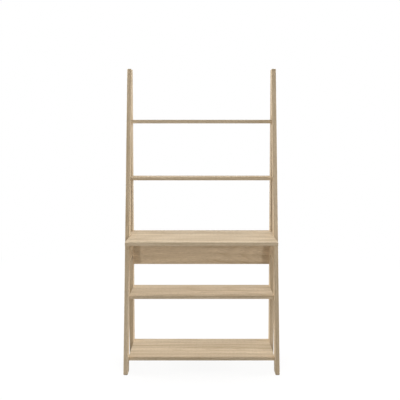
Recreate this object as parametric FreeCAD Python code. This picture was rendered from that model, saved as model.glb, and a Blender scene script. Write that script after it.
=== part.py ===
"""Ladder desk: two side frames with leaning legs carry a desktop, four shelves and a back panel.

Millimetres. +Z is up, -Y is the front and +X is the right seen from the front. The origin is on the
floor under the middle of the bounding box. Everything is the same on both sides, so the right half
is worked out and mirrored.
"""

import FreeCAD
import Part
import os

# The whole desk
overall_width = 880.0
overall_height = 1740.0
frame_depth = 396.0  # front of the feet to the back of the rear posts
desk_overhang = 79.0  # how far the desktop stands out in front of the feet

# Side frames
leg_thickness = 24.0
leg_depth = 71.0  # of the leaning legs, measured level from front to back
post_depth = 70.0
post_top_depth = 9.0  # what the bevel leaves of a rear post at its top end
rail_height = 142.0  # side rails, from the desktop's top surface down
frame_edge_radius = 1.5

# Boards between the side frames
board_thickness = 19.0
desk_height = 767.0
bottom_shelf_height = 87.0
top_shelf_drop = 301.0  # the top shelf's top surface under the top ends of the legs
shelf_setback = 32.0  # a shelf's front edge behind the leaning legs' front face
back_setback = 8.0  # the boards' rear edges in front of the posts' backs
panel_height = 188.0
panel_thickness = 16.0
board_edge_radius = 1.0

# Cam fittings: a cam in the board turns on the head of a bolt screwed into the side frame
cam_diameter = 15.0
cam_height = 12.5
cam_play = 0.2  # of the cam in its pocket, on the diameter and on the depth
cam_from_end = 34.0  # the cam's middle from the end of its board
cam_slot = 8.5  # the way in for the bolt's head
cam_driver_length = 9.0
cam_driver_width = 1.6
cam_driver_depth = 2.0
bolt_thread_diameter = 7.0
bolt_thread_length = 11.0
bolt_shank_diameter = 6.0
bolt_neck_diameter = 4.5
bolt_head_diameter = 7.0
bolt_head_length = 3.5
bolt_play = 0.2  # of the thread in its bore, on the diameter and on the depth
bolt_shank_play = 2.0  # of the shank in the board's bore, on the diameter

# Wood dowels
dowel_diameter = 8.0
dowel_in_board = 20.0
dowel_in_side = 10.0
dowel_bevel = 1.0
dowel_play = 0.2  # on the diameter and at each end

# Where the fittings sit
front_cam_inset = 20.0  # the front bolts in front of the back of the leaning legs
rear_cam_inset = 24.0  # the rear bolts in front of the posts' backs
dowel_spacing = 32.0  # from a bolt to the dowel beside it
panel_dowel_spacing = 250.0  # between the dowels in the back panel's top edge
rail_dowel_inset = 30.0  # from a rail's top and bottom
bevel_dowel_shares = (0.15, 0.42)  # of the way up the joint between leg and post

# Foot pads
pad_height = 3.0
pad_inset = 2.0  # inside the outline of the leg's end
pad_corner_radius = 3.0
pad_pin_diameter = 5.0
pad_pin_length = 12.0
pad_pin_spacing = 32.0
pad_pin_play = 0.2  # on the diameter and at the end

# Worked out from the sizes above
half_width = overall_width / 2
inner_half = half_width - leg_thickness
frame_middle = half_width - leg_thickness / 2
overall_depth = frame_depth + desk_overhang
desk_front = -overall_depth / 2
feet_front = desk_front + desk_overhang
frame_back = overall_depth / 2
post_front = frame_back - post_depth
board_back = frame_back - back_setback
panel_front = board_back - panel_thickness
lean_run = frame_depth - post_top_depth - leg_depth
rail_bottom = desk_height - rail_height
desk_underside = desk_height - board_thickness
panel_bottom = desk_underside - panel_height

right = FreeCAD.Vector(1, 0, 0)
left = FreeCAD.Vector(-1, 0, 0)
backward = FreeCAD.Vector(0, 1, 0)
forward = FreeCAD.Vector(0, -1, 0)
up = FreeCAD.Vector(0, 0, 1)
leaning = FreeCAD.Vector(0, lean_run, overall_height)
into_post = FreeCAD.Vector(0, overall_height, -lean_run)
parallel = 0.999  # how nearly two directions agree to count as the same


def leg_front(z):
    """Y of the leaning legs' front face at this height."""
    return feet_front + lean_run * z / overall_height


def leg_back(z):
    """Y of the leaning legs' rear face at this height."""
    return leg_front(z) + leg_depth


def box(x0, x1, y0, y1, z0, z1):
    """A block between these planes."""
    return Part.makeBox(x1 - x0, y1 - y0, z1 - z0, FreeCAD.Vector(x0, y0, z0))


def side_prism(outline):
    """A piece of the right side frame with this outline of (y, z) corners."""
    corners = [FreeCAD.Vector(inner_half, y, z) for y, z in outline]
    face = Part.Face(Part.makePolygon(corners + corners[:1]))
    return face.extrude(FreeCAD.Vector(leg_thickness, 0, 0))


def turned(outline):
    """A solid turned about the X axis from this outline of (x, radius) corners."""
    corners = [FreeCAD.Vector(x, radius, 0) for x, radius in outline]
    face = Part.Face(Part.makePolygon(corners + corners[:1]))
    return face.revolve(FreeCAD.Vector(), right, 360)


def edges_along(solid, direction):
    """The straight edges of the solid that run in this direction."""
    unit = FreeCAD.Vector(direction).normalize()
    return [
        edge
        for edge in solid.Edges
        if isinstance(edge.Curve, Part.Line)
        and abs(edge.tangentAt(edge.FirstParameter).dot(unit)) > parallel
    ]


def mirrored(shapes):
    """The same shapes on the left side of the desk."""
    return [shape.mirror(FreeCAD.Vector(), right) for shape in shapes]


def both_sides(shapes):
    """These shapes of the right half and the same ones on the left."""
    return shapes + mirrored(shapes)


def placed(shape, origin, along, depth):
    """A fitting put with its X axis along one direction and its Z axis along another."""
    turn = FreeCAD.Rotation(along, depth.cross(along), depth, "ZXY")
    copy = shape.copy()
    copy.Placement = FreeCAD.Placement(origin, turn)
    return copy


def cam(axis_depth):
    """A cam lock. Its board ends at x = 0, its face is at z = 0 and its bolt comes in at axis_depth."""
    radius = cam_diameter / 2
    body = Part.makeCylinder(radius, cam_height, FreeCAD.Vector(cam_from_end, 0, 0), up)
    slot = box(
        cam_from_end - cam_diameter,
        cam_from_end + bolt_head_length / 2,
        -cam_slot / 2,
        cam_slot / 2,
        axis_depth - cam_slot / 2,
        cam_height,
    )
    driver = box(
        cam_from_end - cam_driver_length / 2,
        cam_from_end + cam_driver_length / 2,
        -cam_driver_width / 2,
        cam_driver_width / 2,
        0,
        cam_driver_depth,
    )
    return body.cut(slot).cut(driver)


def cam_pocket():
    """What a cam takes out of its board."""
    radius = (cam_diameter + cam_play) / 2
    return Part.makeCylinder(radius, cam_height + cam_play, FreeCAD.Vector(cam_from_end, 0, 0), up)


def bolt():
    """A cam bolt along the X axis: thread in the side frame, shank and head in the board."""
    thread = bolt_thread_diameter / 2
    shank = bolt_shank_diameter / 2
    neck = bolt_neck_diameter / 2
    head = bolt_head_diameter / 2
    shank_end = cam_from_end - cam_diameter / 2
    head_start = cam_from_end - bolt_head_length
    return turned(
        [
            (-bolt_thread_length, 0),
            (-bolt_thread_length, thread),
            (0, thread),
            (0, shank),
            (shank_end, shank),
            (shank_end, neck),
            (head_start, neck),
            (head_start, head),
            (cam_from_end, head),
            (cam_from_end, 0),
        ]
    )


def bolt_bore():
    """What a cam bolt takes out of the side frame and the end of the board."""
    start = -bolt_thread_length - bolt_play
    thread = (bolt_thread_diameter + bolt_play) / 2
    shank = (bolt_shank_diameter + bolt_shank_play) / 2
    return turned(
        [
            (start, 0),
            (start, thread),
            (0, thread),
            (0, shank),
            (cam_from_end, shank),
            (cam_from_end, 0),
        ]
    )


def dowel(start, end):
    """A dowel along the X axis with bevelled ends."""
    radius = dowel_diameter / 2
    return turned(
        [
            (start, 0),
            (start, radius - dowel_bevel),
            (start + dowel_bevel, radius),
            (end - dowel_bevel, radius),
            (end, radius - dowel_bevel),
            (end, 0),
        ]
    )


def dowel_bore(start, end):
    """What such a dowel takes out of the pieces that it joins."""
    length = end - start + 2 * dowel_play
    radius = (dowel_diameter + dowel_play) / 2
    return Part.makeCylinder(radius, length, FreeCAD.Vector(start - dowel_play, 0, 0), right)


def cam_joints(places, depth, thickness):
    """Cams, bolts and their cuts at these points on a board's right end, from the face with the cams."""
    axis = FreeCAD.Vector(depth) * (thickness / 2)
    cams = [placed(cam(thickness / 2), at, left, depth) for at in places]
    bolts = [placed(bolt(), at + axis, left, depth) for at in places]
    cuts = [placed(cam_pocket(), at, left, depth) for at in places]
    cuts += [placed(bolt_bore(), at + axis, left, depth) for at in places]
    return cams, bolts, cuts


def end_dowels(places):
    """Dowels and their bores at these points on a board's right end."""
    span = (-dowel_in_side, dowel_in_board)
    dowels = [placed(dowel(*span), at, left, up) for at in places]
    cuts = [placed(dowel_bore(*span), at, left, up) for at in places]
    return dowels, cuts


def frame_dowels():
    """Dowels and bores that hold the right side frame together."""
    span = (-dowel_in_board, dowel_in_board)
    low = rail_bottom + rail_dowel_inset
    high = desk_height - rail_dowel_inset
    spots = [(FreeCAD.Vector(frame_middle, leg_back(z), z), backward) for z in (low, high)]
    spots += [(FreeCAD.Vector(frame_middle, post_front, z), backward) for z in (low, high)]
    joint_bottom = bevel_bottom()
    square = FreeCAD.Vector(into_post).normalize()
    for share in bevel_dowel_shares:
        z = joint_bottom + share * (overall_height - joint_bottom)
        spots.append((FreeCAD.Vector(frame_middle, leg_back(z), z), square))
    dowels = [placed(dowel(*span), at, along, right) for at, along in spots]
    cuts = [placed(dowel_bore(*span), at, along, right) for at, along in spots]
    return dowels, cuts


def bevel_bottom():
    """The height at which the leaning leg's rear face meets the front of the post."""
    return (post_front - leg_back(0)) * overall_height / lean_run


def leaning_leg():
    """The right leaning leg without its bores."""
    solid = side_prism(
        [
            (leg_front(pad_height), pad_height),
            (leg_back(pad_height), pad_height),
            (leg_back(overall_height), overall_height),
            (leg_front(overall_height), overall_height),
        ]
    )
    top_face = max(solid.Faces, key=lambda face: face.CenterOfMass.z)
    return solid.makeFillet(frame_edge_radius, edges_along(solid, leaning) + top_face.Edges)


def rear_post():
    """The right rear post without its bores, bevelled against the back of the leaning leg."""
    solid = side_prism(
        [
            (post_front, pad_height),
            (frame_back, pad_height),
            (frame_back, overall_height),
            (leg_back(overall_height), overall_height),
            (post_front, bevel_bottom()),
        ]
    )
    return solid.makeFillet(frame_edge_radius, edges_along(solid, up))


def side_rail():
    """The right rail between leaning leg and post at the desktop's end."""
    solid = side_prism(
        [
            (leg_back(rail_bottom), rail_bottom),
            (post_front, rail_bottom),
            (post_front, desk_height),
            (leg_back(desk_height), desk_height),
        ]
    )
    return solid.makeFillet(frame_edge_radius, edges_along(solid, backward))


def board(front, top):
    """A board between the side frames without its bores."""
    solid = box(-inner_half, inner_half, front, board_back, top - board_thickness, top)
    return solid.makeFillet(board_edge_radius, edges_along(solid, right))


def desk_board():
    """The desktop without its bores, rounded all round because its front corners are in sight."""
    solid = box(-inner_half, inner_half, desk_front, board_back, desk_underside, desk_height)
    return solid.makeFillet(board_edge_radius, solid.Edges)


def back_board():
    """The back panel without its bores."""
    solid = box(-inner_half, inner_half, panel_front, board_back, panel_bottom, desk_underside)
    low_edges = [edge for edge in edges_along(solid, right) if edge.CenterOfMass.z < solid.CenterOfMass.z]
    return solid.makeFillet(board_edge_radius, low_edges)


def board_joints(top, in_rail):
    """Fittings for the right end of a board with its top at this height, also into the rail where asked."""
    underside = top - board_thickness
    middle = top - board_thickness / 2
    rear = frame_back - rear_cam_inset
    cam_rows = (leg_back(middle) - front_cam_inset, rear)
    places = [FreeCAD.Vector(inner_half, y, underside) for y in cam_rows]
    cams, bolts, cuts = cam_joints(places, up, board_thickness)
    dowel_rows = [rear - dowel_spacing]
    if in_rail:
        dowel_rows.append((leg_back(middle) + post_front) / 2)
    dowels, bores = end_dowels([FreeCAD.Vector(inner_half, y, middle) for y in dowel_rows])
    return cams, bolts, dowels, cuts + bores


def panel_joints():
    """Fittings for the right end of the back panel, with its cam at the back."""
    middle = (panel_front + board_back) / 2
    centre = (panel_bottom + desk_underside) / 2
    place = FreeCAD.Vector(inner_half, board_back, centre)
    cams, bolts, cuts = cam_joints([place], forward, panel_thickness)
    rows = (centre - 2 * dowel_spacing, centre + 2 * dowel_spacing)
    dowels, bores = end_dowels([FreeCAD.Vector(inner_half, middle, z) for z in rows])
    return cams, bolts, dowels, cuts + bores


def panel_top_dowels():
    """Dowels between the back panel's top edge and the desktop, and their bores."""
    span = (-dowel_in_side, dowel_in_board)
    middle = (panel_front + board_back) / 2
    rows = (-panel_dowel_spacing, 0, panel_dowel_spacing)
    spots = [FreeCAD.Vector(x, middle, desk_underside) for x in rows]
    down = FreeCAD.Vector(0, 0, -1)
    dowels = [placed(dowel(*span), at, down, right) for at in spots]
    cuts = [placed(dowel_bore(*span), at, down, right) for at in spots]
    return dowels, cuts


def foot_pad(front, back):
    """A pad with two pins under the right leg or post that stands between these planes."""
    pad = box(
        inner_half + pad_inset,
        half_width - pad_inset,
        front + pad_inset,
        back - pad_inset,
        0,
        pad_height,
    )
    pad = pad.makeFillet(pad_corner_radius, edges_along(pad, up))
    for y in pin_rows(front, back):
        pad = pad.fuse(pad_pin(y, pad_pin_diameter, pad_pin_length))
    return pad.removeSplitter()


def pin_rows(front, back):
    """Y of the two pins of a foot pad."""
    middle = (front + back) / 2
    return middle - pad_pin_spacing / 2, middle + pad_pin_spacing / 2


def pad_pin(y, diameter, length):
    """A pin that goes up from the top of a foot pad, or the bore for it."""
    return Part.makeCylinder(diameter / 2, length, FreeCAD.Vector(frame_middle, y, pad_height), up)


def pad_bores(front, back):
    """What the pins of such a pad take out of the foot."""
    diameter = pad_pin_diameter + pad_pin_play
    return [pad_pin(y, diameter, pad_pin_length + pad_pin_play) for y in pin_rows(front, back)]


def save(name, shapes):
    """Write one node."""
    shape = shapes[0] if len(shapes) == 1 else Part.makeCompound(shapes)
    shape.exportStep("parts/" + name + ".step")


def save_pair(name, solid):
    """Write a piece of the right side and its mirror image on the left."""
    save("right_" + name, [solid])
    save("left_" + name, mirrored([solid]))


def save_fittings(name, cams, bolts, dowels):
    """Write the three groups of fittings of one board."""
    save(name + "_cams", both_sides(cams))
    save(name + "_cam_bolts", both_sides(bolts))
    save(name + "_dowels", dowels)


def main():
    """Build and write every node."""
    os.makedirs("parts", exist_ok=True)
    top_shelf_height = overall_height - top_shelf_drop
    shelves = {
        "bottom_shelf": bottom_shelf_height,
        "lower_shelf": (bottom_shelf_height + desk_height) / 2,
        "upper_shelf": (desk_height + top_shelf_height) / 2,
        "top_shelf": top_shelf_height,
    }
    side_cuts = []
    for name, top in shelves.items():
        cams, bolts, dowels, cuts = board_joints(top, False)
        side_cuts += cuts
        save(name, [board(leg_front(top) + shelf_setback, top).cut(both_sides(cuts))])
        save_fittings(name, cams, bolts, both_sides(dowels))

    cams, bolts, dowels, desk_cuts = board_joints(desk_height, True)
    top_dowels, top_cuts = panel_top_dowels()
    side_cuts += desk_cuts
    save("desktop", [desk_board().cut(both_sides(desk_cuts) + top_cuts)])
    save_fittings("desktop", cams, bolts, both_sides(dowels))

    cams, bolts, dowels, cuts = panel_joints()
    side_cuts += cuts
    save("back_panel", [back_board().cut(both_sides(cuts) + top_cuts)])
    save_fittings("back_panel", cams, bolts, both_sides(dowels) + top_dowels)

    dowels, cuts = frame_dowels()
    side_cuts += cuts
    save("right_frame_dowels", dowels)
    save("left_frame_dowels", mirrored(dowels))

    leg_foot = (leg_front(pad_height), leg_back(pad_height))
    post_foot = (post_front, frame_back)
    side_cuts += pad_bores(*leg_foot) + pad_bores(*post_foot)
    save_pair("leg_pad", foot_pad(*leg_foot))
    save_pair("post_pad", foot_pad(*post_foot))
    save_pair("leg", leaning_leg().cut(side_cuts))
    save_pair("post", rear_post().cut(side_cuts))
    save_pair("rail", side_rail().cut(side_cuts))


main()
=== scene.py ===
"""Ladder desk in washed oak veneer, in a white studio. Metres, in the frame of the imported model."""

import math

import bpy
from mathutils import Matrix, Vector


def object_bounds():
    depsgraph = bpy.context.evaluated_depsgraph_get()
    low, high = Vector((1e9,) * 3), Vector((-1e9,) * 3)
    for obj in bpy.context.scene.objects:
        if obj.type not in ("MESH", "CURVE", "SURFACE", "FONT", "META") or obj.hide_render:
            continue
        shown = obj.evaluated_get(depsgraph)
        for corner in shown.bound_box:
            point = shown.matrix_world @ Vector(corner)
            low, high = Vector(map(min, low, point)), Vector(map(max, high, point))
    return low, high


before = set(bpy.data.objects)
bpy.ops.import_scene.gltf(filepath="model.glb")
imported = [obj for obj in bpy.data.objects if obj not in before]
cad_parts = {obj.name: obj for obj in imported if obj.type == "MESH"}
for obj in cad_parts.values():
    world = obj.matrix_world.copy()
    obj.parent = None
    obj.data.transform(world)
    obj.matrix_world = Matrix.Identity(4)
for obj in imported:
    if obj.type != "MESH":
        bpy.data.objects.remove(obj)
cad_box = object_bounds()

# Camera
camera_place = (0.0, -3.7, 1.33)
camera_pitch = 4.162  # degrees below the horizon
camera_lens = 58.04
sensor_width = 36.0
camera_shift = (-0.0039, -0.037)

# Light. A level of 1 lights a face square to it so that its colour renders as written.
sky_level = 0.13
lamps = {
    # name: (level, place, width, height, casts shadows)
    "overhead": (0.32, (0.0, -0.5, 4.2), 2.6, 2.6, True),
    "ceiling": (0.20, (0.0, 0.5, 8.0), 2.6, 2.6, False),
    # A narrow pair, so that the side frames shade narrow ends on the back panel
    "left_front": (0.21, (-1.25, -5.0, 1.25), 0.3, 1.9, True),
    "right_front": (0.21, (1.25, -5.0, 1.25), 0.3, 1.9, True),
    "rear": (0.28, (0.0, 5.0, 2.2), 3.4, 1.2, True),
    "left_side": (0.74, (-6.0, 0.5, 1.3), 3.0, 1.2, True),
    "right_side": (0.74, (6.0, 0.5, 1.3), 3.0, 1.2, True),
    "left_fill": (0.27, (-6.0, 1.5, 4.2), 3.0, 3.0, False),
    "right_fill": (0.27, (6.0, 1.5, 4.2), 3.0, 3.0, False),
}
lamp_aim = (0.0, 0.0, 0.8)

# Floor
floor_size = 40.0
floor_grey = 0.3  # the share of light that it throws back on the object
floor_pale = 0.97  # the share that it throws back to the camera
floor_clean = 0.85  # the share of its picture near its middle that is plain white
floor_fade = (1.2, 4.0)  # metres from its middle between which that share grows to all of it

# Directions of grain and of the broad face across it
right, back, up = (1, 0, 0), (0, 1, 0), (0, 0, 1)
lean_run = 0.316  # how far back the leaning legs reach over the whole height
lean = math.atan2(lean_run, cad_box[1].z - cad_box[0].z)
leaning = (0, math.sin(lean), math.cos(lean))
across_lean = (0, math.cos(lean), -math.sin(lean))


def srgb(red, green, blue):
    """A screen colour, 0 to 255, as the linear colour with alpha that a node takes."""
    shares = [value / 255 for value in (red, green, blue)]
    return (*(s / 12.92 if s <= 0.04045 else ((s + 0.055) / 1.055) ** 2.4 for s in shares), 1.0)


def scaled(colour, factor):
    """A linear colour made darker or lighter."""
    return (*(factor * part for part in colour[:3]), 1.0)


oak_light = srgb(220, 202, 175)
oak_dark = srgb(172, 152, 123)
oak_pore = srgb(150, 129, 102)
beech_light = srgb(222, 190, 148)
beech_dark = srgb(198, 160, 116)
zinc = srgb(170, 172, 175)
steel = srgb(158, 160, 160)
pad_brown = srgb(72, 64, 58)
metal_spot = 0.6  # the darkest spots of a metal, as a share of its colour
metal_spot_share = 0.35  # how far its spots go towards that
pad_spot = 1.35  # the lightest spots of the pads, in the same way

# Oak veneer in metres: its leaves and the growth rings of the trunk
leaf_width = 0.19
leaf_offset = 0.37  # how far the leaves are set over from piece to piece, in leaves
leaf_numbers = 19.0  # by how much the leaves' numbers rise from piece to piece
leaf_step = 11.0  # how far along the trunk a leaf was cut, at most
piece_step = 3.7  # how far along it the next piece of the desk was cut
ring_width = 0.0105
ring_sway = 0.05  # from one end of the sway of the rings to the other
streak_sway = 0.10  # the same for the streaks
heart_depth = (0.012, 0.097)  # how deep the heart of the trunk lies under the face

# Noises of the veneer: features per metre along the grain and across it
sway_noise = (1.1, 4.0)
heart_noise = (0.7, 1.0)  # along the trunk, and per leaf across it
wander_noise = (2.5, 60.0)
broad_noise = (0.8, 24.0)
narrow_noise = (1.6, 120.0)
fibre_noise = (4.0, 520.0)
speck_noise = (45.0, 1300.0)
usual_noise = (0.3, 0.7)  # the range in which most of a noise's values lie
fibre_range = (0.25, 0.75)

# One growth ring, from 0 to 1: where each kind of wood starts, is full, begins to end and has ended
late_wood = (0.35, 0.85, 0.86, 1.0)
early_wood = (0.0, 0.05, 0.1, 0.45)
ring_wander = 0.8  # how many rings' width a ring wanders, at most
pore_range = (0.60, 0.70)  # the specks between which pores appear
pore_early = 0.08  # how much sooner they do in early wood

# How much each part of the figure darkens the oak, as a share of the way from light to dark. The part for
# the narrow faces is painted shade along with a darker band of veneer.
tone_start = -0.28
tones = {"broad": 0.60, "narrow": 0.28, "late": 0.26, "fibre": 0.20, "leaf": 0.12, "edge": 0.17}
pore_tone = 0.5  # how much of its own colour a pore shows

# Surface of the oak
late_rough = 0.2  # how much rougher late wood is, on the scale of the fibres' noise
rough_noise = (0.2, 0.9)  # the part of that scale that is used
rough_range = (0.58, 0.74)  # the roughness that it gives
fibre_height = 0.4  # the fibres' height, as a share of the pores' depth

square_on = 0.7  # cosine from which a face counts as square to a direction


class Graph:
    """The node tree of a new material or world."""

    def __init__(self, owner):
        owner.use_nodes = True
        self.tree = owner.node_tree
        self.tree.nodes.clear()

    def put(self, socket, value):
        """Give a socket a value or another node's output."""
        if isinstance(value, bpy.types.NodeSocket):
            self.tree.links.new(value, socket)
        else:
            socket.default_value = value

    def add(self, kind, inputs, **settings):
        """A new node with these inputs, by name or number."""
        node = self.tree.nodes.new("ShaderNode" + kind)
        for name, value in settings.items():
            setattr(node, name, value)
        for key, value in inputs.items():
            self.put(node.inputs[key], value)
        return node

    def math(self, operation, *values):
        """The result of a Math node."""
        return self.add("Math", dict(enumerate(values)), operation=operation).outputs[0]

    def dot(self, place, direction):
        """How far a place lies along a direction."""
        inputs = {0: place, 1: direction}
        return self.add("VectorMath", inputs, operation="DOT_PRODUCT").outputs["Value"]

    def faces(self, normal, direction):
        """1 where the surface looks along a direction or against it, and 0 elsewhere."""
        return self.math("GREATER_THAN", self.math("ABSOLUTE", self.dot(normal, direction)), square_on)

    def place(self, u, v, w, lengthwise, crosswise):
        """Grain coordinates drawn out along the grain: features per metre each way."""
        inputs = {
            0: self.math("MULTIPLY", u, lengthwise),
            1: self.math("MULTIPLY", v, crosswise),
            2: self.math("MULTIPLY", w, crosswise),
        }
        return self.add("CombineXYZ", inputs).outputs[0]

    def noise(self, place, detail=2.0, scale=1.0):
        """A Noise texture's value, about 0.5 in the middle."""
        inputs = {"Vector": place, "Scale": scale, "Detail": detail}
        return self.add("TexNoise", inputs).outputs[0]

    def span(self, value, low, high, to_low=0.0, to_high=1.0):
        """A value mapped from one range to another and held inside it."""
        inputs = {0: value, 1: low, 2: high, 3: to_low, 4: to_high}
        return self.add("MapRange", inputs).outputs[0]

    def spread(self, noise, to_low=0.0, to_high=1.0):
        """A noise's value drawn out over a range."""
        return self.span(noise, *usual_noise, to_low, to_high)

    def hump(self, value, start, full, turn, end):
        """1 in the middle of a range, with a slope on either side and 0 outside."""
        return self.math("MULTIPLY", self.span(value, start, full), self.span(value, turn, end, 1.0, 0.0))

    def blend(self, share, first, second):
        """A number between two."""
        return self.add("Mix", {0: share, 2: first, 3: second}, data_type="FLOAT").outputs[0]

    def mix(self, share, first, second):
        """A colour between two."""
        inputs = {0: share, 6: first, 7: second}
        return self.add("Mix", inputs, data_type="RGBA").outputs[2]

    def bump(self, height, strength, distance):
        """A normal from a height."""
        inputs = {"Height": height, "Strength": strength, "Distance": distance}
        return self.add("Bump", inputs).outputs[0]

    def finish(self, colour, roughness, normal, metallic=0.0, specular=0.4):
        """Close a material's tree with one Principled shader."""
        inputs = {
            "Base Color": colour,
            "Roughness": roughness,
            "Normal": normal,
            "Metallic": metallic,
            "Specular IOR Level": specular,
        }
        shader = self.add("BsdfPrincipled", inputs).outputs[0]
        self.add("OutputMaterial", {"Surface": shader})


def grain_place(g, along, across, seed):
    """Places along the grain, across it and into the board, and 1 on the board's broad faces."""
    through = tuple(Vector(along).cross(Vector(across)))
    coordinates = g.add("TexCoord", {}).outputs
    lie = [g.dot(coordinates["Object"], direction) for direction in (along, across, through)]
    # On an end, the grain of the edge band runs along the edge.
    end = g.faces(coordinates["Normal"], along)
    u, v, w = (g.blend(end, here, there) for here, there in zip(lie, lie[1:] + lie[:1]))
    face = g.faces(coordinates["Normal"], through)
    return g.math("ADD", u, seed * piece_step), v, w, face


def leaf_place(g, u, v, seed):
    """A leaf's number and chance value, the place along its own cut of the trunk, and across the leaf."""
    leaves = g.math("ADD", g.math("DIVIDE", v, leaf_width), seed * leaf_offset)
    number = g.math("ADD", g.math("FLOOR", leaves), seed * leaf_numbers)
    chance = g.add("TexWhiteNoise", {"W": number}, noise_dimensions="1D").outputs["Value"]
    u_leaf = g.math("ADD", u, g.math("MULTIPLY", chance, leaf_step))
    v_leaf = g.math("MULTIPLY", g.math("SUBTRACT", g.math("FRACT", leaves), 0.5), leaf_width)
    return number, chance, u_leaf, v_leaf


def growth_ring(g, u, v, w, number, v_ring):
    """Where in a growth ring a place lies, 0 to 1: arches over a near heart, lines over a deep one."""
    depth = g.noise(g.place(u, number, 0.0, *heart_noise), detail=1.0)
    under = g.math("ADD", g.spread(depth, *heart_depth), w)
    radius = g.math("SQRT", g.math("ADD", g.math("POWER", v_ring, 2.0), g.math("POWER", under, 2.0)))
    wander = g.noise(g.place(u, v, w, *wander_noise), detail=1.0)
    rings = g.math("MULTIPLY_ADD", wander, ring_wander, g.math("DIVIDE", radius, ring_width))
    return g.math("FRACT", rings)


def oak(name, along, across, seed):
    """Washed oak veneer with its grain along one direction and its leaves side by side across it."""
    material = bpy.data.materials.new(name)
    g = Graph(material)
    u, v, w, face = grain_place(g, along, across, seed)
    number, chance, u, v_leaf = leaf_place(g, u, v, seed)

    # Growth rings, and broad and narrow streaks that sway with them
    sway = g.math("SUBTRACT", g.noise(g.place(u, v, w, *sway_noise)), 0.5)
    ring = growth_ring(g, u, v, w, number, g.math("MULTIPLY_ADD", sway, ring_sway, v_leaf))
    late = g.hump(ring, *late_wood)
    early = g.hump(ring, *early_wood)
    v_streak = g.math("MULTIPLY_ADD", sway, streak_sway, v)
    broad = g.spread(g.noise(g.place(u, v_streak, w, *broad_noise), detail=1.0))
    narrow = g.spread(g.noise(g.place(u, v_streak, w, *narrow_noise)))

    # Fine fibres and pores
    fibre = g.noise(g.place(u, v, w, *fibre_noise), detail=3.0)
    speck = g.noise(g.place(u, v, w, *speck_noise), detail=0.0)
    pore = g.span(g.math("MULTIPLY_ADD", early, pore_early, speck), *pore_range)

    parts = {"broad": broad, "narrow": narrow, "late": late, "leaf": chance}
    parts["fibre"] = g.span(fibre, *fibre_range)
    # Painted shade: the narrow faces, such as the fronts of boards, legs and posts, are darkened, partly
    # as a darker band of veneer and partly in place of the weaker light on them.
    parts["edge"] = g.math("SUBTRACT", 1.0, face)
    shade = tone_start
    for part, weight in tones.items():
        shade = g.math("MULTIPLY_ADD", parts[part], weight, shade)
    wood = g.mix(g.math("MAXIMUM", g.math("MINIMUM", shade, 1.0), 0.0), oak_light, oak_dark)
    colour = g.mix(g.math("MULTIPLY", pore, pore_tone), wood, oak_pore)

    uneven = g.math("ADD", fibre, g.math("MULTIPLY", late, late_rough))
    roughness = g.span(uneven, *rough_noise, *rough_range)
    height = g.math("SUBTRACT", g.math("MULTIPLY", fibre, fibre_height), pore)
    g.finish(colour, roughness, g.bump(height, strength=0.4, distance=0.0003), specular=0.18)
    return material


def specked(name, noise_scale, detail):
    """A new material, its graph and a fine noise in it."""
    material = bpy.data.materials.new(name)
    g = Graph(material)
    spot = g.add("TexCoord", {}).outputs["Object"]
    return material, g, g.noise(spot, detail=detail, scale=noise_scale)


def beech(name):
    """Plain beech with short flecks, for the dowels."""
    material, g, fleck = specked(name, noise_scale=420.0, detail=3.0)
    colour = g.mix(g.spread(fleck), beech_light, beech_dark)
    roughness = g.spread(fleck, 0.55, 0.7)
    g.finish(colour, roughness, g.bump(fleck, strength=0.3, distance=0.0003))
    return material


def metal(name, colour, noise_scale, smoothest, roughest):
    """Cast or turned metal with a fine uneven surface."""
    material, g, speck = specked(name, noise_scale, detail=4.0)
    shade = g.mix(g.spread(speck, 0.0, metal_spot_share), colour, scaled(colour, metal_spot))
    roughness = g.spread(speck, smoothest, roughest)
    g.finish(shade, roughness, g.bump(speck, strength=0.25, distance=0.0002), metallic=1.0)
    return material


def pad_plastic(name):
    """Dull dark plastic with a fine moulded grain."""
    material, g, speck = specked(name, noise_scale=900.0, detail=3.0)
    colour = g.mix(g.spread(speck), pad_brown, scaled(pad_brown, pad_spot))
    roughness = g.spread(speck, 0.6, 0.75)
    g.finish(colour, roughness, g.bump(speck, strength=0.4, distance=0.0002))
    return material


def dress(node, material):
    """Give a node of the frame its finish."""
    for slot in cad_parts[node].material_slots:
        slot.material = material


def dress_wood():
    """Veneer for each board and each piece of the side frames, every one cut from another place."""
    boards = ("bottom_shelf", "lower_shelf", "desktop", "upper_shelf", "top_shelf")
    grains = {node: (right, back) for node in boards}
    grains["back_panel"] = (right, up)
    for side in ("left_", "right_"):
        grains[side + "leg"] = (leaning, across_lean)
        grains[side + "post"] = (up, back)
        grains[side + "rail"] = (back, up)
    for seed, (node, (along, across)) in enumerate(grains.items(), start=1):
        dress(node, oak("oak_" + node, along, across, seed))


def dress_fittings():
    """One finish for each kind of fitting."""
    finishes = {
        "_cams": metal("zinc_casting", zinc, noise_scale=700.0, smoothest=0.34, roughest=0.52),
        "_cam_bolts": metal("plated_steel", steel, noise_scale=500.0, smoothest=0.26, roughest=0.44),
        "_dowels": beech("beech"),
        "_pad": pad_plastic("pad_plastic"),
    }
    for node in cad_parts:
        for ending, material in finishes.items():
            if node.endswith(ending):
                dress(node, material)


def seen_directly(g):
    """1 for what the camera sees, straight, mirrored or through glass, and 0 for light on the object."""
    rays = g.add("LightPath", {}).outputs
    seen = rays["Is Camera Ray"]
    for name in ("Is Glossy Ray", "Is Transmission Ray"):
        seen = g.math("MAXIMUM", seen, rays[name])
    return seen


def white_world():
    """A sky that looks white and lights the object evenly at its own level."""
    world = bpy.data.worlds.new("studio")
    bpy.context.scene.world = world
    g = Graph(world)
    strength = g.span(seen_directly(g), 0.0, 1.0, sky_level, 1.0)
    sky = g.add("Background", {"Color": (1.0, 1.0, 1.0, 1.0), "Strength": strength}).outputs[0]
    g.add("OutputWorld", {"Surface": sky})


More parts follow.
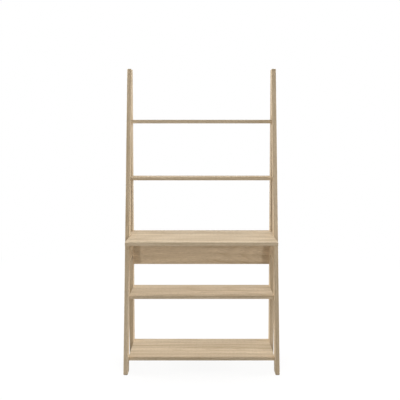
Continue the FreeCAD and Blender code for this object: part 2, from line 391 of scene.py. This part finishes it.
def floor_material():
    """White to the camera but for a soft shadow, and grey to the object."""
    material = bpy.data.materials.new("white_floor")
    g = Graph(material)
    seen = seen_directly(g)
    level = g.span(seen, 0.0, 1.0, floor_grey, floor_pale)
    shaded = g.add("BsdfDiffuse", {"Color": level}).outputs[0]
    plain = g.add("Emission", {}).outputs[0]
    spot = g.add("TexCoord", {}).outputs["Object"]
    distance = g.add("VectorMath", {0: spot}, operation="LENGTH").outputs["Value"]
    share = g.math("MULTIPLY", seen, g.span(distance, *floor_fade, floor_clean, 1.0))
    surface = g.add("MixShader", {0: share, 1: shaded, 2: plain}).outputs[0]
    g.add("OutputMaterial", {"Surface": surface})
    return material


def white_floor():
    """A floor that looks white, keeps a soft shadow and throws back a little light."""
    mesh = bpy.data.meshes.new("floor")
    half = floor_size / 2
    corners = [(-half, -half, 0.0), (half, -half, 0.0), (half, half, 0.0), (-half, half, 0.0)]
    mesh.from_pydata(corners, [], [(0, 1, 2, 3)])
    mesh.materials.append(floor_material())
    floor = bpy.data.objects.new("floor", mesh)
    bpy.context.scene.collection.objects.link(floor)


def aim(thing, target):
    """Turn a lamp towards a point."""
    way = Vector(target) - thing.location
    thing.rotation_euler = way.to_track_quat("-Z", "Y").to_euler()


def studio_lamps():
    """The lamps, each with the power that gives its level at the point they are aimed at."""
    for name, (level, place, width, height, shadows) in lamps.items():
        data = bpy.data.lights.new(name, "AREA")
        data.shape = "RECTANGLE"
        data.size = width
        data.size_y = height
        data.use_shadow = shadows
        lamp = bpy.data.objects.new(name, data)
        lamp.location = place
        lamp.visible_glossy = False  # no hot spots on the matt veneer
        aim(lamp, lamp_aim)
        data.energy = level * math.pi**2 * (Vector(place) - Vector(lamp_aim)).length_squared
        bpy.context.scene.collection.objects.link(lamp)


def studio_camera():
    """The camera, level from side to side."""
    data = bpy.data.cameras.new("camera")
    data.lens = camera_lens
    data.sensor_width = sensor_width
    data.shift_x, data.shift_y = camera_shift
    camera = bpy.data.objects.new("camera", data)
    camera.location = camera_place
    camera.rotation_euler = (math.radians(90 - camera_pitch), 0.0, 0.0)
    bpy.context.scene.collection.objects.link(camera)
    bpy.context.scene.camera = camera


dress_wood()
dress_fittings()
white_world()
white_floor()
studio_lamps()
studio_camera()
bpy.context.scene.view_settings.view_transform = "Standard"
